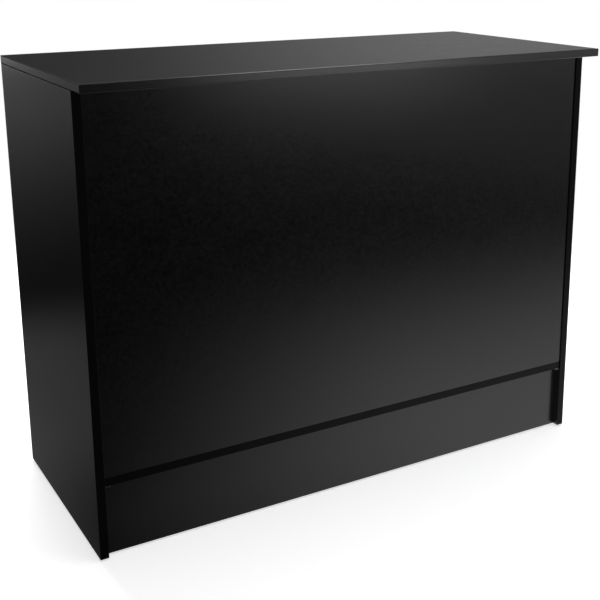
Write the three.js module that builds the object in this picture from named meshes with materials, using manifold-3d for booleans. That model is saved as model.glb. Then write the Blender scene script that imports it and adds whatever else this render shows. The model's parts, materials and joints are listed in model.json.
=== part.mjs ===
// A knock-down service counter: a worktop and two end panels around one front panel, with a
// deck over recessed kick plates, a rear rail, one adjustable shelf and an open back.
// Millimetres, +Z up, and the front faces -Y. The origin is on the floor, under the middle of
// the worktop.

import * as THREE from 'three';
import { mergeVertices } from 'three/addons/utils/BufferGeometryUtils.js';
import Module from 'manifold-3d';

// Overall sizes
const WIDTH = 1219; // along the front, over both end panels
const DEPTH = 559; // worktop, front edge to back edge
const HEIGHT = 965; // floor to the worktop's upper face
const BOARD = 18; // thickness of every board

// Places of the boards
const TOP_OVERHANG = 51; // worktop past the end panels' front edges
const DECK_CLEARANCE = 160; // floor to the deck's underside
const REVEAL = 3; // front panel, deck and rear rail behind the end panels' edges
const KICK_RECESS = 16; // kick plates behind the end panels' edges
const RAIL_HEIGHT = 80; // rear rail under the worktop
const SHELF_DEPTH = 300; // front to back, with its edge band
const SHELF_END_GAP = 1.5; // shelf to each end panel
const SHELF_FRONT_GAP = 2; // shelf to the front panel

// Gaps
const SEAM = 0.3; // hairline between boards that are pulled together
const FIT = 0.3; // around hardware in its bore and under a board on its pins
const GLUE_LINE = 0.1; // between a board and its edge band

// Edge bands: thickness, and the rounding of their outer corners
const TOP_BAND = 3;
const TOP_BAND_ROUND = 2.7;
const BAND = 1;
const BAND_ROUND = 0.8;
const ROUND_LIMIT = 0.9; // the largest share of a band's thickness that its rounding takes
const ROUND_STEPS = 3; // straight steps in a rounded corner

// Cam connectors: a cam in one board's face draws in a bolt that is screwed into the other
const CAM_DIAMETER = 15;
const CAM_SETBACK = 24; // cam's axis to the edge of its board
const CAM_RIM = 1.1; // thinnest wall around the cavity
const CAM_FLOOR = 1.3; // wall under the cavity
const CAM_LIFT = 0.6; // how far the cavity is off centre, which draws the bolt in
const CAM_TURN = 2.1; // radians from the way in for the bolt's head to the locked place
const CROSS_LENGTH = 9.4; // cross recess for the screwdriver
const CROSS_WIDTH = 1.7;
const CROSS_DEPTH = 2.6;
const BOLT_BORE = 8; // from the board's edge to the cam
const HEAD_DIAMETER = 6;
const NECK_DIAMETER = 4;
const SHANK_DIAMETER = 5;
const COLLAR_LENGTH = 3;
const THREAD_DIAMETER = 6;
const THREAD_LENGTH = 11;
const THREAD_TIP = 2; // length of the tapered point

// Where the cams sit, from the ends of the edge that they pull together
const FRONT_CAM_INSET = 96;
const TOP_CAM_INSET = 80;

// Pins for the shelf and the deck, and the rows of bores for the shelf's pins
const PIN_DIAMETER = 5;
const PIN_DEPTH = 10; // in the end panel
const PIN_COLLAR_DIAMETER = 8;
const PIN_COLLAR_LENGTH = 1.5;
const PADDLE_LENGTH = 12; // past the collar, under the board, level with the collar's top
const PADDLE_WIDTH = 9;
const PADDLE_THICKNESS = 2;
const PIN_INSET = 37; // shelf pins from the shelf's front and back edges
const ROW_PITCH = 32;
const ROW_COUNT = 7;

// Levelling feet, screwed into the end panels' bottom edges
const FOOT_DIAMETER = 16;
const FOOT_HEIGHT = 4; // pad under the panel
const FOOT_CHAMFER = 0.8;
const STEM_DIAMETER = 6;
const STEM_LENGTH = 24;
const STEM_TIP = 1.5;
const FOOT_INSET = 60; // from the end panels' front and back edges

// Sides of the round forms, and how far a cutting tool starts outside the face
const CAM_SIDES = 16;
const BOLT_SIDES = 8;
const BORE_SIDES = 10;
const FOOT_SIDES = 16;
const HEAD_STEPS = 4;
const PADDLE_STEPS = 6;
const BREAKOUT = 1;

// Levels and lines worked out from the sizes above
const frontEdge = -DEPTH / 2 + TOP_OVERHANG; // end panels' front edges
const backEdge = DEPTH / 2;
const innerX = WIDTH / 2 - BOARD; // end panels' inner faces
const betweenX = innerX - SEAM; // ends of the boards between them
const panelBottom = FOOT_HEIGHT + FIT;
const topUnderside = HEIGHT - BOARD;
const deckTop = DECK_CLEARANCE + BOARD;
const frontFace = frontEdge + REVEAL; // front panel and deck
const rearFace = backEdge - REVEAL; // rear rail and deck
const shelfFront = frontFace + BOARD + SHELF_FRONT_GAP;
const shelfBack = shelfFront + SHELF_DEPTH;
const rowMiddle = (deckTop + topUnderside) / 2;
const seatRise = PIN_COLLAR_DIAMETER / 2; // a pin's axis to the top of its paddle
const shelfUnderside = rowMiddle + seatRise + FIT;

const X = new THREE.Vector3(1, 0, 0);
const Y = new THREE.Vector3(0, 1, 0);
const Z = new THREE.Vector3(0, 0, 1);
const SIDES = [['left', -1], ['right', 1]];

const laminate = new THREE.MeshStandardMaterial({ color: 0x1c1c1d, roughness: 0.5 });
const banding = new THREE.MeshStandardMaterial({ color: 0x111112, roughness: 0.4 });
const zinc = new THREE.MeshStandardMaterial({ color: 0xa6a8aa, roughness: 0.45, metalness: 1 });
const steel = new THREE.MeshStandardMaterial({ color: 0xc2c4c6, roughness: 0.3, metalness: 1 });
const nylon = new THREE.MeshStandardMaterial({ color: 0x161617, roughness: 0.6 });

const wasm = await Module();
wasm.setup();

function toSolid(geometry) {
  const bare = geometry.clone();
  bare.deleteAttribute('normal');
  bare.deleteAttribute('uv');
  const merged = mergeVertices(bare);
  return new wasm.Manifold(new wasm.Mesh({
    numProp: 3,
    vertProperties: Float32Array.from(merged.attributes.position.array),
    triVerts: Uint32Array.from(merged.index.array),
  }));
}

function toGeometry(solid) {
  const mesh = solid.getMesh();
  const geometry = new THREE.BufferGeometry();
  geometry.setAttribute('position', new THREE.BufferAttribute(mesh.vertProperties, 3));
  geometry.setIndex(new THREE.BufferAttribute(mesh.triVerts, 1));
  geometry.computeVertexNormals();
  return geometry;
}

function namedMesh(name, geometry, material) {
  const mesh = new THREE.Mesh(geometry, material);
  mesh.name = name;
  return mesh;
}

// A cylinder that starts at a point and runs along a direction
function rod(diameter, from, direction, length, sides) {
  const geometry = new THREE.CylinderGeometry(diameter / 2, diameter / 2, length, sides);
  geometry.translate(0, length / 2, 0);
  geometry.applyQuaternion(new THREE.Quaternion().setFromUnitVectors(Y, direction));
  geometry.translate(from.x, from.y, from.z);
  return geometry;
}

// A board fills a box, given as its low and high value on each axis. Bores are drilled from a
// point on its surface, along a direction that goes into it.
class Board {
  constructor(name, xs, ys, zs) {
    this.name = name;
    this.low = new THREE.Vector3(xs[0], ys[0], zs[0]);
    this.high = new THREE.Vector3(xs[1], ys[1], zs[1]);
    this.centre = this.low.clone().add(this.high).divideScalar(2);
    this.bores = [];
  }

  drill(diameter, point, direction, depth, sides = BORE_SIDES) {
    const start = point.clone().sub(this.centre).addScaledVector(direction, -BREAKOUT);
    this.bores.push(rod(diameter, start, direction, depth + BREAKOUT, sides));
  }

  mesh() {
    const size = this.high.clone().sub(this.low);
    let solid = toSolid(new THREE.BoxGeometry(size.x, size.y, size.z));
    for (const bore of this.bores) {
      solid = solid.subtract(toSolid(bore));
    }
    const mesh = namedMesh(this.name, toGeometry(solid), laminate);
    mesh.position.copy(this.centre);
    return mesh;
  }
}

// An edge band: a strip with rounded outer corners. It lies on a board's edge, at the middle of
// its inner face, with `outward` and `across` as the directions of its thickness and its width.
function edgeBand(name, thickness, rounding, length, middle, outward, across) {
  const round = Math.min(rounding, thickness * ROUND_LIMIT);
  const half = BOARD / 2;
  const outline = new THREE.Shape();
  outline.moveTo(0, -half);
  outline.lineTo(thickness - round, -half);
  outline.absarc(thickness - round, -half + round, round, -Math.PI / 2, 0);
  outline.lineTo(thickness, half - round);
  outline.absarc(thickness - round, half - round, round, 0, Math.PI / 2);
  outline.lineTo(0, half);
  const strip = new THREE.ExtrudeGeometry(outline, {
    depth: length,
    bevelEnabled: false,
    curveSegments: ROUND_STEPS,
  });
  strip.translate(0, 0, -length / 2);
  const along = new THREE.Vector3().crossVectors(outward, across);
  const mesh = namedMesh(name, strip, banding);
  mesh.quaternion.setFromRotationMatrix(new THREE.Matrix4().makeBasis(outward, across, along));
  mesh.position.copy(middle);
  return mesh;
}

// Cam sizes that follow from the bolt that it holds
const camHeight = BOARD / 2 + HEAD_DIAMETER / 2 + FIT + CAM_FLOOR;
const cavityRadius = CAM_DIAMETER / 2 - CAM_RIM - CAM_LIFT;
const cavityHeight = HEAD_DIAMETER + 2 * FIT;
const cavityReach = Math.sqrt(cavityRadius ** 2 - CAM_LIFT ** 2); // towards the bolt
const headOffset = cavityReach - HEAD_DIAMETER / 2 - FIT; // head's centre from the cam's axis

// The cam, with its face at z = 0 and the locked bolt coming in along +x. The head goes in by a
// round mouth in the rim, and the neck follows a slot from there as the cam turns.
function camGeometry() {
  const bottom = Z.clone().multiplyScalar(-camHeight);
  const boltLevel = -BOARD / 2;
  const drum = toSolid(rod(CAM_DIAMETER, bottom, Z, camHeight, CAM_SIDES));

  const cavityStart = new THREE.Vector3(0, CAM_LIFT, boltLevel - cavityHeight / 2);
  const cavity = toSolid(rod(2 * cavityRadius, cavityStart, Z, cavityHeight, CAM_SIDES));

  const mouthAxis = new THREE.Vector3(Math.cos(CAM_TURN), Math.sin(CAM_TURN), 0);
  const mouthStart = new THREE.Vector3(0, 0, boltLevel);
  const mouth = toSolid(rod(cavityHeight, mouthStart, mouthAxis, CAM_DIAMETER, BORE_SIDES));

  const slotHeight = NECK_DIAMETER + 2 * FIT;
  const slotMargin = Math.asin(slotHeight / 2 / (cavityReach - CAM_LIFT));
  const slotOutline = new THREE.Shape();
  slotOutline.absarc(0, 0, CAM_DIAMETER, -slotMargin, CAM_TURN);
  slotOutline.lineTo(0, 0);
  const slotGeometry = new THREE.ExtrudeGeometry(slotOutline, {
    depth: slotHeight,
    bevelEnabled: false,
    curveSegments: CAM_SIDES,
  });
  slotGeometry.translate(0, 0, boltLevel - slotHeight / 2);

  const armDepth = CROSS_DEPTH + BREAKOUT;
  const armLevel = BREAKOUT - armDepth / 2;
  const arms = [[CROSS_LENGTH, CROSS_WIDTH], [CROSS_WIDTH, CROSS_LENGTH]].map(([x, y]) => {
    const arm = new THREE.BoxGeometry(x, y, armDepth);
    arm.translate(0, 0, armLevel);
    return toSolid(arm);
  });

  let cam = drum.subtract(cavity).subtract(mouth).subtract(toSolid(slotGeometry));
  for (const arm of arms) {
    cam = cam.subtract(arm);
  }
  return toGeometry(cam);
}

// The cam's bolt, along +y, with y = 0 at the face that it is screwed into
function boltGeometry() {
  const headRadius = HEAD_DIAMETER / 2;
  const neckRadius = NECK_DIAMETER / 2;
  const collarRadius = BOLT_BORE / 2 - FIT;
  const threadRadius = THREAD_DIAMETER / 2;
  const headCentre = headOffset - CAM_SETBACK - SEAM;
  const neckEnd = CAM_DIAMETER / 2 + FIT - CAM_SETBACK - SEAM;
  const collarEnd = -SEAM;
  const lastAngle = Math.PI - Math.asin(neckRadius / headRadius);
  const profile = [];
  for (let step = 0; step <= HEAD_STEPS; step += 1) {
    const angle = lastAngle * step / HEAD_STEPS;
    const radius = headRadius * Math.sin(angle);
    profile.push(new THREE.Vector2(radius, headCentre - headRadius * Math.cos(angle)));
  }
  profile.push(new THREE.Vector2(neckRadius, neckEnd));
  profile.push(new THREE.Vector2(SHANK_DIAMETER / 2, neckEnd));
  profile.push(new THREE.Vector2(SHANK_DIAMETER / 2, collarEnd - COLLAR_LENGTH));
  profile.push(new THREE.Vector2(collarRadius, collarEnd - COLLAR_LENGTH));
  profile.push(new THREE.Vector2(collarRadius, collarEnd));
  profile.push(new THREE.Vector2(threadRadius, collarEnd));
  profile.push(new THREE.Vector2(threadRadius, THREAD_LENGTH - THREAD_TIP));
  profile.push(new THREE.Vector2(threadRadius / 2, THREAD_LENGTH));
  profile.push(new THREE.Vector2(0, THREAD_LENGTH));
  return new THREE.LatheGeometry(profile, BOLT_SIDES);
}

const camShape = camGeometry();
const boltShape = boltGeometry();

// A cam connector between two boards: drills both, and gives the cam and the bolt. `centre` is
// the cam's axis on the face of the board that holds it, `normal` points out of that face, and
// `towards` points from the cam to the other board.
function camConnector(name, held, mate, centre, normal, towards) {
  const inward = normal.clone().negate();
  const backwards = towards.clone().negate();
  const axisPoint = centre.clone().addScaledVector(inward, BOARD / 2);
  const heldEdge = axisPoint.clone().addScaledVector(towards, CAM_SETBACK);
  const mateFace = heldEdge.clone().addScaledVector(towards, SEAM);
  held.drill(CAM_DIAMETER + 2 * FIT, centre, inward, camHeight + FIT, CAM_SIDES);
  held.drill(BOLT_BORE, heldEdge, backwards, CAM_SETBACK);
  mate.drill(THREAD_DIAMETER + 2 * FIT, mateFace, towards, THREAD_LENGTH + FIT);

  const cam = namedMesh(`${name}_cam`, camShape, zinc);
  const sideways = new THREE.Vector3().crossVectors(normal, towards);
  cam.quaternion.setFromRotationMatrix(new THREE.Matrix4().makeBasis(towards, sideways, normal));
  cam.position.copy(centre);

  const bolt = namedMesh(`${name}_cam_bolt`, boltShape, steel);
  bolt.quaternion.setFromUnitVectors(Y, towards);
  bolt.position.copy(mateFace);
  return [cam, bolt];
}

// A support pin along +x, with x = 0 at the face that it is pushed into: a round shank, a
// collar, and a flat paddle with a round end under the board that it carries.
function pinGeometry() {
  const shankStart = new THREE.Vector3(-PIN_DEPTH, 0, 0);
  const collarStart = new THREE.Vector3(FIT, 0, 0);
  const collarEnd = FIT + PIN_COLLAR_LENGTH;
  const shank = rod(PIN_DIAMETER, shankStart, X, PIN_DEPTH + collarEnd, BORE_SIDES);
  const collar = rod(PIN_COLLAR_DIAMETER, collarStart, X, PIN_COLLAR_LENGTH, BORE_SIDES);
  const half = PADDLE_WIDTH / 2;
  const roundCentre = collarEnd + PADDLE_LENGTH - half;
  const outline = new THREE.Shape();
  outline.moveTo(FIT, -half);
  outline.lineTo(roundCentre, -half);
  outline.absarc(roundCentre, 0, half, -Math.PI / 2, Math.PI / 2);
  outline.lineTo(FIT, half);
  const paddle = new THREE.ExtrudeGeometry(outline, {
    depth: PADDLE_THICKNESS,
    bevelEnabled: false,
    curveSegments: PADDLE_STEPS,
  });
  paddle.translate(0, 0, seatRise - PADDLE_THICKNESS);
  return toGeometry(toSolid(shank).add(toSolid(collar)).add(toSolid(paddle)));
}

const pinShape = pinGeometry();

// Drills an end panel's inner face for a pin at a height and a depth
function drillForPin(panel, side, y, z) {
  const mouth = new THREE.Vector3(side * innerX, y, z);
  const outward = new THREE.Vector3(side, 0, 0);
  panel.drill(PIN_DIAMETER + 2 * FIT, mouth, outward, PIN_DEPTH + FIT);
}

function supportPin(name, side, y, z) {
  const pin = namedMesh(name, pinShape, steel);
  pin.rotation.z = side > 0 ? Math.PI : 0;
  pin.position.set(side * innerX, y, z);
  return pin;
}

// A levelling foot along +z, with its pad on the floor
function footGeometry() {
  const radius = FOOT_DIAMETER / 2;
  const stemRadius = STEM_DIAMETER / 2;
  const stemTop = FOOT_HEIGHT + STEM_LENGTH;
  const foot = new THREE.LatheGeometry([
    new THREE.Vector2(0, 0),
    new THREE.Vector2(radius - FOOT_CHAMFER, 0),
    new THREE.Vector2(radius, FOOT_CHAMFER),
    new THREE.Vector2(radius, FOOT_HEIGHT),
    new THREE.Vector2(stemRadius, FOOT_HEIGHT),
    new THREE.Vector2(stemRadius, stemTop - STEM_TIP),
    new THREE.Vector2(stemRadius - STEM_TIP, stemTop),
    new THREE.Vector2(0, stemTop),
  ], FOOT_SIDES);
  foot.rotateX(Math.PI / 2);
  return foot;
}

// Boards
const topInset = TOP_BAND + GLUE_LINE;
const edgeInset = BAND + GLUE_LINE;
const between = [-betweenX, betweenX];
const panelHeights = [panelBottom, topUnderside - SEAM];
const kickHeights = [panelBottom, DECK_CLEARANCE - SEAM];
const railHeights = [topUnderside - SEAM - RAIL_HEIGHT, topUnderside - SEAM];
const shelfEnd = innerX - SHELF_END_GAP;

const worktop = new Board(
  'worktop',
  [-WIDTH / 2 + topInset, WIDTH / 2 - topInset],
  [-DEPTH / 2 + topInset, DEPTH / 2 - topInset],
  [topUnderside, HEIGHT],
);
const endPanels = {};
for (const [sideName, side] of SIDES) {
  const faces = [side * innerX, side * WIDTH / 2].sort((a, b) => a - b);
  const depths = [frontEdge + edgeInset, backEdge - edgeInset];
  endPanels[sideName] = new Board(`${sideName}_end_panel`, faces, depths, panelHeights);
}
const frontPanel = new Board(
  'front_panel',
  between,
  [frontFace, frontFace + BOARD],
  [deckTop + SEAM, topUnderside - SEAM],
);
const deck = new Board(
  'bottom_deck',
  between,
  [frontFace + edgeInset, rearFace - edgeInset],
  [DECK_CLEARANCE, deckTop],
);
const frontKickFace = frontEdge + KICK_RECESS;
const rearKickFace = backEdge - KICK_RECESS;
const frontKick = new Board(
  'front_kick_plate',
  between,
  [frontKickFace, frontKickFace + BOARD],
  kickHeights,
);
const rearKick = new Board(
  'rear_kick_plate',
  between,
  [rearKickFace - BOARD, rearKickFace],
  kickHeights,
);
const rearRail = new Board('rear_top_rail', between, [rearFace - BOARD, rearFace], railHeights);
const shelf = new Board(
  'adjustable_shelf',
  [-shelfEnd, shelfEnd],
  [shelfFront, shelfBack - edgeInset],
  [shelfUnderside, shelfUnderside + BOARD],
);

// Hardware at both ends. Each piece drills the boards that it joins.
const hardware = [];
const feet = [];
const footShape = footGeometry();
const minusY = Y.clone().negate();
const columns = [['front', shelfFront + PIN_INSET], ['rear', shelfBack - PIN_INSET]];
const deckPinLevel = DECK_CLEARANCE - FIT - seatRise;
const deckPinPlaces = [
  ['front', frontEdge + KICK_RECESS / 2],
  ['rear', backEdge - KICK_RECESS / 2],
];
const footPlaces = [['front', frontEdge + FOOT_INSET], ['rear', backEdge - FOOT_INSET]];

for (const [sideName, side] of SIDES) {
  const panel = endPanels[sideName];
  const outward = X.clone().multiplyScalar(side);
  const inward = outward.clone().negate();
  const camX = side * (betweenX - CAM_SETBACK);

  // Front panel to end panel
  const frontCams = [
    ['upper', frontPanel.high.z - FRONT_CAM_INSET],
    ['lower', frontPanel.low.z + FRONT_CAM_INSET],
  ];
  for (const [level, z] of frontCams) {
    const centre = new THREE.Vector3(camX, frontPanel.high.y, z);
    const name = `${sideName}_front_${level}`;
    hardware.push(...camConnector(name, frontPanel, panel, centre, Y, outward));
  }

  // End panel to worktop
  const topCams = [['front', frontEdge + TOP_CAM_INSET], ['rear', backEdge - TOP_CAM_INSET]];
  for (const [place, y] of topCams) {
    const centre = new THREE.Vector3(side * innerX, y, panel.high.z - CAM_SETBACK);
    const name = `${sideName}_top_${place}`;
    hardware.push(...camConnector(name, panel, worktop, centre, inward, Z));
  }

  // Kick plates and rear rail to end panel, with the cams on their inner faces
  const crossBoards = [
    ['front_kick', frontKick, frontKick.high.y, Y],
    ['rear_kick', rearKick, rearKick.low.y, minusY],
    ['rear_rail', rearRail, rearRail.low.y, minusY],
  ];
  for (const [place, board, faceY, normal] of crossBoards) {
    const centre = new THREE.Vector3(camX, faceY, board.centre.z);
    const name = `${sideName}_${place}`;
    hardware.push(...camConnector(name, board, panel, centre, normal, outward));
  }

  // Rows of bores for the shelf, with a pin in the middle row of each
  for (const [place, y] of columns) {
    for (let row = 0; row < ROW_COUNT; row += 1) {
      const rise = (row - (ROW_COUNT - 1) / 2) * ROW_PITCH;
      drillForPin(panel, side, y, rowMiddle + rise);
    }
    hardware.push(supportPin(`${sideName}_${place}_shelf_pin`, side, y, rowMiddle));
  }

  // Pins under the deck's corners, in front of and behind the kick plates
  for (const [place, y] of deckPinPlaces) {
    drillForPin(panel, side, y, deckPinLevel);
    hardware.push(supportPin(`${sideName}_${place}_deck_pin`, side, y, deckPinLevel));
  }

  // Levelling feet
  for (const [place, y] of footPlaces) {
    const mouth = new THREE.Vector3(panel.centre.x, y, panelBottom);
    panel.drill(STEM_DIAMETER + 2 * FIT, mouth, Z, STEM_LENGTH + FIT);
    const foot = namedMesh(`${sideName}_${place}_levelling_foot`, footShape, nylon);
    foot.position.set(panel.centre.x, y, 0);
    feet.push(foot);
  }
}

// Edge bands. The worktop's front and back bands run its full width, between them the side ones.
const bands = [];
const frontAndBack = [['front', -1], ['back', 1]];
const worktopLevel = worktop.centre.z;
for (const [place, facing] of frontAndBack) {
  const outward = Y.clone().multiplyScalar(facing);
  const middle = new THREE.Vector3(0, facing * (DEPTH / 2 - TOP_BAND), worktopLevel);
  const name = `worktop_${place}_edge_band`;
  bands.push(edgeBand(name, TOP_BAND, TOP_BAND_ROUND, WIDTH, middle, outward, Z));
}
const sideBandLength = DEPTH - 2 * topInset;
for (const [sideName, side] of SIDES) {
  const outward = X.clone().multiplyScalar(side);
  const middle = new THREE.Vector3(side * (WIDTH / 2 - TOP_BAND), 0, worktopLevel);
  const name = `worktop_${sideName}_edge_band`;
  bands.push(edgeBand(name, TOP_BAND, TOP_BAND_ROUND, sideBandLength, middle, outward, Z));
}
const panelLength = panelHeights[1] - panelHeights[0];
for (const [sideName] of SIDES) {
  const { centre } = endPanels[sideName];
  for (const [place, facing] of frontAndBack) {
    const outward = Y.clone().multiplyScalar(facing);
    const edge = facing < 0 ? frontEdge + BAND : backEdge - BAND;
    const middle = new THREE.Vector3(centre.x, edge, centre.z);
    const name = `${sideName}_end_${place}_edge_band`;
    bands.push(edgeBand(name, BAND, BAND_ROUND, panelLength, middle, outward, X));
  }
}
for (const [place, facing] of frontAndBack) {
  const outward = Y.clone().multiplyScalar(facing);
  const edge = facing < 0 ? frontFace + BAND : rearFace - BAND;
  const middle = new THREE.Vector3(0, edge, deck.centre.z);
  const name = `deck_${place}_edge_band`;
  bands.push(edgeBand(name, BAND, BAND_ROUND, 2 * betweenX, middle, outward, Z));
}
const shelfBandMiddle = new THREE.Vector3(0, shelfBack - BAND, shelf.centre.z);
const shelfBand = edgeBand(
  'shelf_edge_band',
  BAND,
  BAND_ROUND,
  2 * shelfEnd,
  shelfBandMiddle,
  Y,
  Z,
);

// The fixed carcass, the shelf that lifts and slides out at the back, and the feet
const carcassBoards = [
  worktop,
  endPanels.left,
  endPanels.right,
  frontPanel,
  deck,
  frontKick,
  rearKick,
  rearRail,
];
const carcass = new THREE.Group();
carcass.add(...carcassBoards.map((board) => board.mesh()), ...bands, ...hardware);
const looseShelf = new THREE.Group();
looseShelf.add(shelf.mesh(), shelfBand);
const levelling = new THREE.Group();
levelling.add(...feet);

const counter = new THREE.Group();
counter.add(carcass, looseShelf, levelling);

export default counter;
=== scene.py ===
import json
import math

import bpy
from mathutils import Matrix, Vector


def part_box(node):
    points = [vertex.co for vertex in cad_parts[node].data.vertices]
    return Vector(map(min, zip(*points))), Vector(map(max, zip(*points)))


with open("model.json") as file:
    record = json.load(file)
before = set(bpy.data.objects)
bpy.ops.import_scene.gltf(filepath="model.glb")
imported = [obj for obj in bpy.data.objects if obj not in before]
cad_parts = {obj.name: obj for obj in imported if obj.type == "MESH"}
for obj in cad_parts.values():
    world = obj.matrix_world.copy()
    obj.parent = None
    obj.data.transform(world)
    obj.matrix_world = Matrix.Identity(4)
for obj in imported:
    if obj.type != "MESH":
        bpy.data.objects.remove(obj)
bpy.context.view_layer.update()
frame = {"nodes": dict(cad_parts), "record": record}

# A black laminated service counter, dressed and lit as in a studio. Metres, +Z up, front at -Y.

# Most of a noise texture's values lie between these two
NOISE_LOW = 0.3
NOISE_HIGH = 0.7

# Sockets of the colour mixing node, which has others of the same names
MIX_FACTOR = 0
MIX_FIRST = 6
MIX_SECOND = 7
MIX_RESULT = 2


class Nodes:
    """Adds nodes to a material's or the world's tree and links them."""

    def __init__(self, tree):
        self.tree = tree
        self.tree.nodes.clear()

    def add(self, kind, inputs=None, **settings):
        node = self.tree.nodes.new(kind)
        for name, value in settings.items():
            setattr(node, name, value)
        for name, value in (inputs or {}).items():
            self.set(node.inputs[name], value)
        return node

    def set(self, socket, value):
        if isinstance(value, bpy.types.NodeSocket):
            self.tree.links.new(value, socket)
        else:
            socket.default_value = value

    def math(self, operation, first, second=0.0, third=0.0):
        node = self.add("ShaderNodeMath", operation=operation)
        for socket, value in zip(node.inputs, (first, second, third)):
            self.set(socket, value)
        return node.outputs[0]

    def noise(self, place, scale, detail=2.0, roughness=0.5):
        return self.add(
            "ShaderNodeTexNoise",
            {"Vector": place, "Scale": scale, "Detail": detail, "Roughness": roughness},
        ).outputs["Fac"]

    def span(self, value, low, high, from_low=NOISE_LOW, from_high=NOISE_HIGH, curve="LINEAR"):
        """A value's range, stretched to run from low to high."""
        return self.add(
            "ShaderNodeMapRange",
            {
                "Value": value,
                "From Min": from_low,
                "From Max": from_high,
                "To Min": low,
                "To Max": high,
            },
            interpolation_type=curve,
        ).outputs["Result"]

    def rise(self, value, reach):
        """Rises smoothly from 0 to 1 as a value crosses a stretch."""
        return self.span(value, 0.0, 1.0, *reach, curve="SMOOTHSTEP")

    def fading(self, place, centre, reach, brightness):
        """A brightness that falls off smoothly between two distances from a point."""
        away = self.add("ShaderNodeVectorMath", {0: place, 1: centre}, operation="DISTANCE")
        return self.span(away.outputs["Value"], brightness, 0.0, *reach, curve="SMOOTHSTEP")

    def blend(self, factor, first, second):
        """One colour turning into another."""
        inputs = {MIX_FACTOR: factor, MIX_FIRST: first, MIX_SECOND: second}
        return self.add("ShaderNodeMix", inputs, data_type="RGBA").outputs[MIX_RESULT]

    def bump(self, height, strength, distance, normal=None):
        inputs = {"Height": height, "Strength": strength, "Distance": distance}
        if normal is not None:
            inputs["Normal"] = normal
        return self.add("ShaderNodeBump", inputs).outputs["Normal"]

    def shade(self, factor, first, second):
        """One shader turning into another."""
        return self.add(
            "ShaderNodeMixShader",
            {0: factor, 1: first.outputs[0], 2: second.outputs[0]},
        )

    def glow(self, strength):
        return self.add("ShaderNodeEmission", {"Color": grey(1.0), "Strength": strength})

    def surface(self, shader):
        self.add("ShaderNodeOutputMaterial", {"Surface": shader.outputs[0]})


def grey(value):
    return (value, value, value, 1.0)


def new_material(name):
    material = bpy.data.materials.new(name)
    material.use_nodes = True
    return material, Nodes(material.node_tree)


# Laminated board: a satin black face with a fine pebble, and chipboard where the face is cut
FACE_DARK = (0.0022, 0.0022, 0.0023, 1.0)
FACE_LIGHT = (0.0108, 0.0108, 0.0112, 1.0)
FACE_ROUGHNESS = (0.222, 0.238)
FACE_SPECULAR = 0.6
FACE_BUMP = 0.5
FACE_NOISE_ROUGHNESS = 0.6
PEBBLE_SCALE = 300
PEBBLE_DETAIL = 4.0
PEBBLE_DEPTH = 0.0002
GRAIN_SCALE = 130
GRAIN_DETAIL = 3.0
GRAIN_DEPTH = 0.0001
GRAIN_ROUGHNESS = (-0.02, 0.02)
GRAIN_SHARE = 0.75
MOTTLE_SCALE = 14
MOTTLE_DETAIL = 4.0
MOTTLE_SHARE = 0.25
CHIP_SCALE = 260
CHIP_DARK = (0.22, 0.13, 0.07, 1.0)
CHIP_LIGHT = (0.52, 0.38, 0.24, 1.0)
# A surface is cut where it looks less than this along the board's thin axis, and is rougher there
CUT_LIMIT = 0.6
CUT_ROUGHNESS = 0.4


def laminate(name, thin_axis):
    """thin_axis is the axis across the board: its two faces look along it."""
    material, nodes = new_material(name)
    place = nodes.add("ShaderNodeTexCoord").outputs["Object"]
    geometry = nodes.add("ShaderNodeNewGeometry")
    axes = nodes.add("ShaderNodeSeparateXYZ", {"Vector": geometry.outputs["True Normal"]})
    facing = nodes.math("ABSOLUTE", axes.outputs[thin_axis])
    cut = nodes.math("LESS_THAN", facing, CUT_LIMIT)

    pebble = nodes.noise(place, PEBBLE_SCALE, PEBBLE_DETAIL, FACE_NOISE_ROUGHNESS)
    grain = nodes.noise(place, GRAIN_SCALE, GRAIN_DETAIL, FACE_NOISE_ROUGHNESS)
    mottle = nodes.noise(place, MOTTLE_SCALE, MOTTLE_DETAIL, FACE_NOISE_ROUGHNESS)
    mottle_part = nodes.math("MULTIPLY", mottle, MOTTLE_SHARE)
    tone = nodes.math("MULTIPLY_ADD", grain, GRAIN_SHARE, mottle_part)
    face = nodes.blend(nodes.span(tone, 0.0, 1.0), FACE_DARK, FACE_LIGHT)
    chips = nodes.add("ShaderNodeTexVoronoi", {"Vector": place, "Scale": CHIP_SCALE})
    chip_tone = nodes.add("ShaderNodeSeparateColor", {"Color": chips.outputs["Color"]}).outputs[0]
    core = nodes.blend(chip_tone, CHIP_DARK, CHIP_LIGHT)

    haze = nodes.span(grain, *GRAIN_ROUGHNESS)
    face_roughness = nodes.math("ADD", nodes.span(mottle, *FACE_ROUGHNESS), haze)
    relief = nodes.bump(grain, FACE_BUMP, GRAIN_DEPTH)
    shader = nodes.add(
        "ShaderNodeBsdfPrincipled",
        {
            "Base Color": nodes.blend(cut, face, core),
            "Roughness": nodes.math("MULTIPLY_ADD", cut, CUT_ROUGHNESS, face_roughness),
            "Normal": nodes.bump(pebble, FACE_BUMP, PEBBLE_DEPTH, relief),
            "Specular IOR Level": FACE_SPECULAR,
        },
    )
    nodes.surface(shader)
    return material


# Edge band: darker plastic with faint lines from its extrusion, glossier on the worktop
BAND_DARK = (0.0025, 0.0025, 0.0026, 1.0)
BAND_LIGHT = (0.0045, 0.0045, 0.0047, 1.0)
BAND_MOTTLE_SCALE = 30
BAND_MOTTLE_DETAIL = 3.0
BAND_LINES = 1600
BAND_STRETCH = 0.02
BAND_BUMP = 0.15
BAND_DEPTH = 0.00005
# Families of bands: roughness and specular level
BANDS = {
    "carcass": ((0.34, 0.42), 0.12),
    "worktop": ((0.20, 0.26), 0.9),
}


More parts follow.
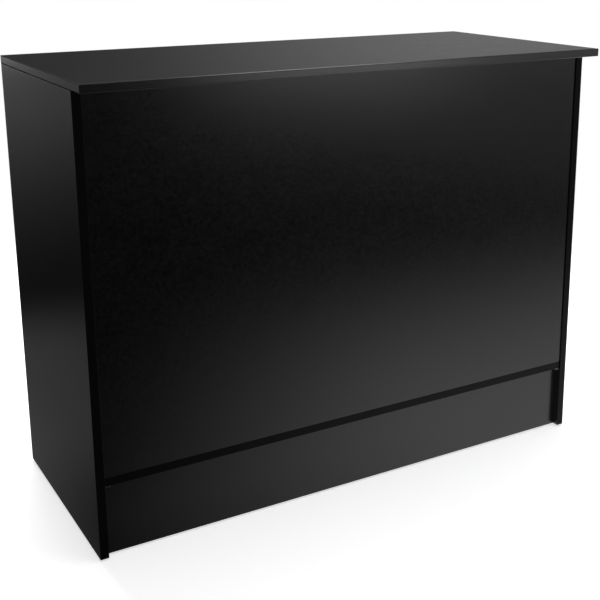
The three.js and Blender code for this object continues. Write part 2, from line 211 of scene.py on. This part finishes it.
def edge_band(name, long_axis, roughness, specular):
    """long_axis is the axis along the band, and its lines run the same way."""
    material, nodes = new_material(name)
    place = nodes.add("ShaderNodeTexCoord").outputs["Object"]
    stretch = [1.0, 1.0, 1.0]
    stretch[long_axis] = BAND_STRETCH
    drawn = nodes.add("ShaderNodeVectorMath", {0: place, 1: stretch}, operation="MULTIPLY")
    lines = nodes.noise(drawn.outputs[0], BAND_LINES)
    mottle = nodes.noise(place, BAND_MOTTLE_SCALE, BAND_MOTTLE_DETAIL)
    shader = nodes.add(
        "ShaderNodeBsdfPrincipled",
        {
            "Base Color": nodes.blend(nodes.span(mottle, 0.0, 1.0), BAND_DARK, BAND_LIGHT),
            "Roughness": nodes.span(lines, *roughness),
            "Normal": nodes.bump(lines, BAND_BUMP, BAND_DEPTH),
            "Specular IOR Level": specular,
        },
    )
    nodes.surface(shader)
    return material


# Metals: darkest and lightest tone, roughness, scale and depth of the grain
METALS = {
    "cam_zinc": (0.42, 0.58, (0.38, 0.55), 900, 0.0001),
    "plated_steel": (0.58, 0.70, (0.20, 0.32), 1500, 0.00004),
    # Plated steel darkened for the deck pins, to stand in for the shade they sit in: painted shade
    "shaded_plated_steel": (0.12, 0.18, (0.30, 0.42), 1500, 0.00004),
}
METAL_GRAIN_DETAIL = 4.0
METAL_GRAIN_ROUGHNESS = 0.6
METAL_BUMP = 0.3
STAIN_SCALE = 160
STAIN_DETAIL = 3.0


def metal(name, dark, light, roughness, grain_scale, grain_depth):
    """Cast or plated metal: mottled colour, uneven gloss and a fine grain."""
    material, nodes = new_material(name)
    place = nodes.add("ShaderNodeTexCoord").outputs["Object"]
    grain = nodes.noise(place, grain_scale, METAL_GRAIN_DETAIL, METAL_GRAIN_ROUGHNESS)
    stain = nodes.noise(place, STAIN_SCALE, STAIN_DETAIL)
    shader = nodes.add(
        "ShaderNodeBsdfPrincipled",
        {
            "Base Color": nodes.blend(nodes.span(stain, 0.0, 1.0), grey(dark), grey(light)),
            "Metallic": 1.0,
            "Roughness": nodes.span(grain, *roughness),
            "Normal": nodes.bump(grain, METAL_BUMP, grain_depth),
        },
    )
    nodes.surface(shader)
    return material


# Nylon of the feet
NYLON_DARK = grey(0.010)
NYLON_LIGHT = grey(0.022)
NYLON_ROUGHNESS = (0.50, 0.66)
NYLON_GRAIN_SCALE = 1400
NYLON_GRAIN_DETAIL = 3.0
NYLON_BUMP = 0.25
NYLON_DEPTH = 0.0001
SCUFF_SCALE = 90
SCUFF_DETAIL = 4.0
SCUFF_ROUGHNESS = 0.65


def nylon(name):
    """Black moulded plastic, scuffed."""
    material, nodes = new_material(name)
    place = nodes.add("ShaderNodeTexCoord").outputs["Object"]
    grain = nodes.noise(place, NYLON_GRAIN_SCALE, NYLON_GRAIN_DETAIL)
    scuff = nodes.noise(place, SCUFF_SCALE, SCUFF_DETAIL, SCUFF_ROUGHNESS)
    shader = nodes.add(
        "ShaderNodeBsdfPrincipled",
        {
            "Base Color": nodes.blend(nodes.span(scuff, 0.0, 1.0), NYLON_DARK, NYLON_LIGHT),
            "Roughness": nodes.span(scuff, *NYLON_ROUGHNESS),
            "Normal": nodes.bump(grain, NYLON_BUMP, NYLON_DEPTH),
        },
    )
    nodes.surface(shader)
    return material


# Dressing the CAD nodes. A board's thin axis and a band's long axis come from their boxes.
SMOOTH_ANGLE = math.radians(50)


def box_size(node):
    low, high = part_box(node)
    return list(high - low)


def smooth_group():
    """A modifier that shades round forms smooth and keeps corners sharp."""
    group = bpy.data.node_groups.new("smooth_by_angle", "GeometryNodeTree")
    for direction in ("INPUT", "OUTPUT"):
        group.interface.new_socket("Geometry", in_out=direction, socket_type="NodeSocketGeometry")
    start = group.nodes.new("NodeGroupInput")
    end = group.nodes.new("NodeGroupOutput")
    angle = group.nodes.new("GeometryNodeInputMeshEdgeAngle")
    sharp = group.nodes.new("FunctionNodeCompare")
    sharp.operation = "GREATER_THAN"
    sharp.inputs[1].default_value = SMOOTH_ANGLE
    faces = group.nodes.new("GeometryNodeSetShadeSmooth")
    faces.domain = "FACE"
    edges = group.nodes.new("GeometryNodeSetShadeSmooth")
    edges.domain = "EDGE"
    edges.inputs["Shade Smooth"].default_value = False
    group.links.new(start.outputs[0], faces.inputs["Geometry"])
    group.links.new(angle.outputs["Unsigned Angle"], sharp.inputs[0])
    group.links.new(faces.outputs[0], edges.inputs["Geometry"])
    group.links.new(sharp.outputs[0], edges.inputs["Selection"])
    group.links.new(edges.outputs[0], end.inputs[0])
    return group


def dress_nodes():
    slot_of = {part["node"]: part["material_slot"] for part in frame["record"]["subparts"]}
    boards = [laminate(f"laminate_{axis}", index) for index, axis in enumerate("xyz")]
    bands = {}
    for family, gloss in BANDS.items():
        for index, axis in enumerate("xyz"):
            bands[family, index] = edge_band(f"{family}_band_{axis}", index, *gloss)
    metals = {name: metal(name, *values) for name, values in METALS.items()}
    foot_nylon = nylon("foot_nylon")
    smooth = smooth_group()
    for name, node in frame["nodes"].items():
        slot = slot_of[name]
        size = box_size(name)
        if slot == "laminate":
            material = boards[size.index(min(size))]
        elif slot == "edge_band":
            family = "worktop" if name.startswith("worktop") else "carcass"
            material = bands[family, size.index(max(size))]
        elif slot == "foot":
            material = foot_nylon
        # The deck pins get the darkened plated steel: painted shade
        elif name.endswith("deck_pin"):
            material = metals["shaded_plated_steel"]
        else:
            material = metals[slot]
        node.data.materials.clear()
        node.data.materials.append(material)
        if slot != "laminate":
            modifier = node.modifiers.new("smooth", "NODES")
            modifier.node_group = smooth


# Studio: white paper on the floor, and a room around it that only reflections see
PAPER_LOW = (-8.0, -8.0)
PAPER_HIGH = (8.0, 8.0)
STUDIO_RADIUS = 9.0
STUDIO_SIDES = 96
STUDIO_HEIGHT = 7.0
STUDIO_FLOOR = -0.002
WALL_FOOT = -0.1
# The studio's floor and ceiling are squares that reach a little past its round wall
STUDIO_REACH = 1.1 * STUDIO_RADIUS


def mesh_object(name, points, faces, material):
    mesh = bpy.data.meshes.new(name)
    mesh.from_pydata(points, [], faces)
    mesh.materials.append(material)
    thing = bpy.data.objects.new(name, mesh)
    bpy.context.scene.collection.objects.link(thing)
    return thing


def rectangle(name, low, high, height, material):
    points = [
        (low[0], low[1], height),
        (high[0], low[1], height),
        (high[0], high[1], height),
        (low[0], high[1], height),
    ]
    return mesh_object(name, points, [(0, 1, 2, 3)], material)


def round_wall(name, low, high, material):
    points = []
    for height in (low, high):
        for step in range(STUDIO_SIDES):
            angle = 2 * math.pi * step / STUDIO_SIDES
            across = STUDIO_RADIUS * math.cos(angle)
            along = STUDIO_RADIUS * math.sin(angle)
            points.append((across, along, height))
    faces = []
    for step in range(STUDIO_SIDES):
        following = (step + 1) % STUDIO_SIDES
        faces.append((step, following, STUDIO_SIDES + following, STUDIO_SIDES + step))
    return mesh_object(name, points, faces, material)


def seen_only_in_reflections(thing):
    thing.visible_camera = False
    thing.visible_diffuse = False
    thing.visible_shadow = False
    thing.visible_transmission = False


# Paper as the camera sees it. Between the two distances its shadow fades into plain white.
PAPER_WHITE = 0.80
PAPER_ROUGHNESS = 0.9
PAPER_SPECULAR = 0.1
PAPER_GLOW = 0.62
SHADOW_REACH = (1.2, 2.6)
# The paper's colour as it lights the counter from below
PAPER_BOUNCE = 0.15

# The floor as the counter reflects it. Small pools of light: middle, full and faded distance,
# brightness.
FLOOR_POOLS = [
    ((-0.78, 0.68, 0.0), (0.25, 0.90), 0.10),
    ((3.80, -3.40, 0.0), (0.40, 2.60), 0.26),
    ((-1.90, -1.30, 0.0), (0.40, 1.60), 0.45),
]
# The wide pool starts in front of the counter and goes on to the right and the rear. Its left edge
# slants to the right in front of the counter.
WIDE_POOL = 0.95
WIDE_POOL_LEFT = (-0.78, 0.45)
WIDE_POOL_SLANT = 0.45
WIDE_POOL_FRONT = (-1.9, -0.35)
# Far behind the counter the floor gets paler
FAR_FLOOR = 0.18
FAR_FLOOR_REAR = (1.0, 7.5)
FLOOR_DIM = 0.01


def reflected_floor(nodes, place):
    """How bright the floor is in the counter's reflections."""
    across, along, _ = nodes.add("ShaderNodeSeparateXYZ", {"Vector": place}).outputs
    before = nodes.math("SUBTRACT", along, WIDE_POOL_FRONT[1])
    outward = nodes.math("MINIMUM", before, 0.0)
    slanted = nodes.math("MULTIPLY_ADD", outward, WIDE_POOL_SLANT, across)
    left_edge = nodes.rise(slanted, WIDE_POOL_LEFT)
    front_edge = nodes.rise(along, WIDE_POOL_FRONT)
    wide = nodes.math("MULTIPLY", left_edge, front_edge)
    far_floor = nodes.math("MULTIPLY", nodes.rise(along, FAR_FLOOR_REAR), FAR_FLOOR)
    lit = nodes.math("MULTIPLY_ADD", wide, WIDE_POOL, far_floor)
    for pool in FLOOR_POOLS:
        lit = nodes.math("ADD", lit, nodes.fading(place, *pool))
    return nodes.math("ADD", lit, FLOOR_DIM)


def paper_material():
    """White paper. To the camera it glows a little, so that it is white and keeps the shadow. It
    throws little light back up, and the counter reflects it as a dim floor with pools of light."""
    material, nodes = new_material("floor_paper")
    place = nodes.add("ShaderNodeNewGeometry").outputs["Position"]
    path = nodes.add("ShaderNodeLightPath").outputs
    bounce = nodes.blend(path["Is Diffuse Ray"], grey(PAPER_WHITE), grey(PAPER_BOUNCE))
    paper = nodes.add(
        "ShaderNodeBsdfPrincipled",
        {
            "Base Color": bounce,
            "Roughness": PAPER_ROUGHNESS,
            "Specular IOR Level": PAPER_SPECULAR,
            "Emission Color": grey(1.0),
            "Emission Strength": nodes.math("MULTIPLY", path["Is Camera Ray"], PAPER_GLOW),
        },
    )
    near = nodes.fading(place, (0.0, 0.0, 0.0), SHADOW_REACH, 1.0)
    far = nodes.math("SUBTRACT", 1.0, near)
    plain_white = nodes.math("MULTIPLY", far, path["Is Camera Ray"])
    seen = nodes.shade(plain_white, paper, nodes.glow(1.0))
    reflected = nodes.glow(reflected_floor(nodes, place))
    nodes.surface(nodes.shade(path["Is Glossy Ray"], seen, reflected))
    return material


# Lit patches on the walls: middle, full and faded distance, brightness
WALL_PATCHES = [
    ((6.0, 6.5, 0.5), (0.5, 5.0), 0.34),
    ((0.0, 9.0, 0.5), (3.0, 9.0), 0.02),
    ((6.9, -5.8, 0.8), (0.5, 3.4), 0.75),
    ((-3.0, -8.5, 0.8), (0.8, 3.6), 0.55),
    ((9.0, 0.0, 1.0), (1.0, 4.0), 0.50),
    ((-2.0, 8.8, 0.4), (0.3, 1.6), 0.80),
]
WALL_DIM = 0.01
WALL_TOP = 0.35
WALL_TOP_RISE = (2.4, 6.0)
OUTER_FLOOR = 0.01
CEILING = 0.30


def wall_material():
    """Studio walls, as the counter reflects them: dim, with lit patches and a paler top."""
    material, nodes = new_material("studio_walls")
    place = nodes.add("ShaderNodeNewGeometry").outputs["Position"]
    height = nodes.add("ShaderNodeSeparateXYZ", {"Vector": place}).outputs[2]
    lit = nodes.math("MULTIPLY_ADD", nodes.rise(height, WALL_TOP_RISE), WALL_TOP, WALL_DIM)
    for patch in WALL_PATCHES:
        lit = nodes.math("ADD", lit, nodes.fading(place, *patch))
    nodes.surface(nodes.glow(lit))
    return material


def glow_material(name, brightness):
    material, nodes = new_material(name)
    nodes.surface(nodes.glow(brightness))
    return material


def build_studio():
    rectangle("floor_paper", PAPER_LOW, PAPER_HIGH, 0.0, paper_material())
    low = (-STUDIO_REACH, -STUDIO_REACH)
    high = (STUDIO_REACH, STUDIO_REACH)
    floor_glow = glow_material("studio_floor", OUTER_FLOOR)
    ceiling_glow = glow_material("studio_ceiling", CEILING)
    room = [
        rectangle("studio_floor", low, high, STUDIO_FLOOR, floor_glow),
        rectangle("studio_ceiling", low, high, STUDIO_HEIGHT, ceiling_glow),
        round_wall("studio_walls", WALL_FOOT, STUDIO_HEIGHT, wall_material()),
    ]
    for thing in room:
        seen_only_in_reflections(thing)


# Lamps: name, place, aimed at, width, height, watts, lights matt surfaces, shows in gloss
SOFTBOXES = [
    ("overhead_softbox", (0.6, -0.2, 3.6), (0.0, 0.0, 0.9), 3.2, 3.2, 95.0, True, False),
    ("strip_softbox", (1.4, -0.2, 3.6), (1.4, -0.2, 0.0), 1.1, 3.6, 36.0, False, True),
    ("front_softbox", (2.65, -5.0, 0.85), (0.3, -0.2, 0.6), 1.7, 1.1, 13.0, True, True),
    ("rear_softbox", (0.2, 2.8, 2.0), (0.0, 0.0, 0.45), 2.4, 1.4, 130.0, True, False),
]


def add_softboxes():
    for name, place, target, width, height, watts, matt, gloss in SOFTBOXES:
        lamp = bpy.data.lights.new(name, "AREA")
        lamp.shape = "RECTANGLE"
        lamp.size = width
        lamp.size_y = height
        lamp.energy = watts
        holder = bpy.data.objects.new(name, lamp)
        bpy.context.scene.collection.objects.link(holder)
        holder.visible_camera = False
        holder.visible_diffuse = matt
        holder.visible_glossy = gloss
        holder.location = place
        aim = Vector(target) - Vector(place)
        holder.rotation_mode = "QUATERNION"
        holder.rotation_quaternion = aim.to_track_quat("-Z", "Y")


AMBIENT = 0.12


def set_world():
    """White to the camera, in mirrors and through glass, and a soft ambient light elsewhere."""
    world = bpy.data.worlds.new("studio")
    world.use_nodes = True
    nodes = Nodes(world.node_tree)
    path = nodes.add("ShaderNodeLightPath").outputs
    seen = nodes.math("MAXIMUM", path["Is Camera Ray"], path["Is Glossy Ray"])
    seen = nodes.math("MAXIMUM", seen, path["Is Transmission Ray"])
    strength = nodes.span(seen, AMBIENT, 1.0, 0.0, 1.0)
    background = nodes.add("ShaderNodeBackground", {"Color": grey(1.0), "Strength": strength})
    nodes.add("ShaderNodeOutputWorld", {"Surface": background.outputs[0]})
    bpy.context.scene.world = world


# Camera: the photograph is cut from a wider picture, so its optical centre is off the middle
IMAGE_SIZE = 600
FOCAL_PIXELS = 1067
OPTICAL_CENTRE = (345, 215)
SENSOR_WIDTH = 36
CAMERA_PLACE = (-1.160, -2.107, 1.209)
CAMERA_AZIMUTH = -30.8
CAMERA_ELEVATION = 14.5


def add_camera():
    data = bpy.data.cameras.new("camera")
    data.sensor_width = SENSOR_WIDTH
    data.lens = SENSOR_WIDTH * FOCAL_PIXELS / IMAGE_SIZE
    data.shift_x = (IMAGE_SIZE / 2 - OPTICAL_CENTRE[0]) / IMAGE_SIZE
    data.shift_y = (OPTICAL_CENTRE[1] - IMAGE_SIZE / 2) / IMAGE_SIZE
    camera = bpy.data.objects.new("camera", data)
    bpy.context.scene.collection.objects.link(camera)
    camera.location = CAMERA_PLACE
    tilt = math.radians(90 - CAMERA_ELEVATION)
    camera.rotation_euler = (tilt, 0.0, math.radians(CAMERA_AZIMUTH))
    bpy.context.scene.camera = camera


dress_nodes()
build_studio()
add_softboxes()
set_world()
add_camera()
bpy.context.scene.view_settings.view_transform = "Standard"
